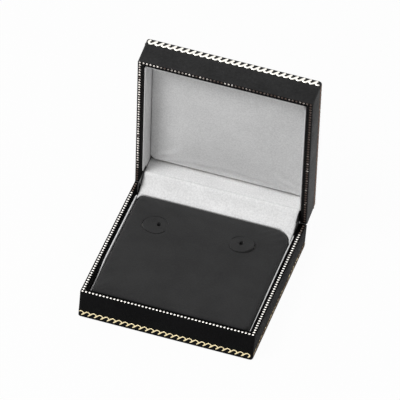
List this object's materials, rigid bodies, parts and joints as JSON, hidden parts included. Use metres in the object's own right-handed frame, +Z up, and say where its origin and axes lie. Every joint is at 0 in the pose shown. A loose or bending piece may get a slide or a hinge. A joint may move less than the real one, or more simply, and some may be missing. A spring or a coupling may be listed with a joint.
{
  "type": "earring box",
  "caption": "Shallow leatherette earring box with a velour pad, lifting earring flaps, a satin-lined lid and a snap hinge.",
  "frame": {"origin": "centre of the flat underside that the box rests on", "axes": "+Z up, +Y from the front towards the hinge, +X to the right seen from the front"},
  "size_m": [0.0732, 0.0868, 0.088],
  "materials": {
    "leatherette": "fine pebble grain, half matt, black",
    "tray": "moulded black, plain",
    "gold": "hot-stamped pale gold foil",
    "satin": "white satin, fine weave with a soft sheen",
    "velour": "charcoal velour, short matt pile",
    "foam": "open-cell sheet foam",
    "card": "grey board",
    "hinge_steel": "pressed steel, black enamel",
    "rivet_steel": "plated steel",
    "spring_steel": "tempered strip, bright",
    "felt": "black flock paper"
  },
  "bodies": {
    "base": {"base_covering": "leatherette", "base_tray": "tray", "base_scroll_border": "gold", "base_bead_line": "gold", "base_side_lining": "satin", "base_bottom_sheet": "felt", "pad_velour": "velour", "pad_foam": "foam", "pad_card": "card", "pad_riser": "card", "hinge_base_leaf": "hinge_steel", "hinge_rivet_left": "rivet_steel", "hinge_rivet_right": "rivet_steel", "hinge_satin_strip": "satin"},
    "lid": {"lid_covering": "leatherette", "lid_tray": "tray", "lid_scroll_border": "gold", "lid_bead_line": "gold", "lid_side_lining": "satin", "lid_rear_lining": "satin", "lid_panel_satin": "satin", "lid_panel_foam": "foam", "lid_panel_card": "card", "hinge_lid_leaf": "hinge_steel"},
    "spring": {"snap_spring": "spring_steel"},
    "flap_left": {"earring_flap_left": "velour"},
    "flap_right": {"earring_flap_right": "velour"}
  },
  "joints": [
    {"name": "lid_hinge", "type": "hinge", "parent": "base", "child": "lid", "pos_m": [0, 0.0356, 0.01325], "axis": [1, 0, 0], "range_deg": [0, 80], "deforming": ["hinge_satin_strip"]},
    {"name": "spring_swing", "type": "hinge", "parent": "base", "child": "spring", "pos_m": [0, 0.03046, 0.00712], "axis": [1, 0, 0], "range_deg": [-29.8, 0]},
    {"name": "flap_left_lift", "type": "hinge", "parent": "base", "child": "flap_left", "pos_m": [-0.015, 0.0132, 0.01315], "axis": [0, 1, 0], "range_deg": [0, 25], "stiffness_Nm_per_rad": 0.00005},
    {"name": "flap_right_lift", "type": "hinge", "parent": "base", "child": "flap_right", "pos_m": [0.0102, 0.0132, 0.01321], "axis": [0, -1, 0], "range_deg": [0, 25], "stiffness_Nm_per_rad": 0.00005}
  ],
  "couplings": [
    {"joint": "spring_swing", "follows": "lid_hinge", "ratio": -0.37}
  ]
}
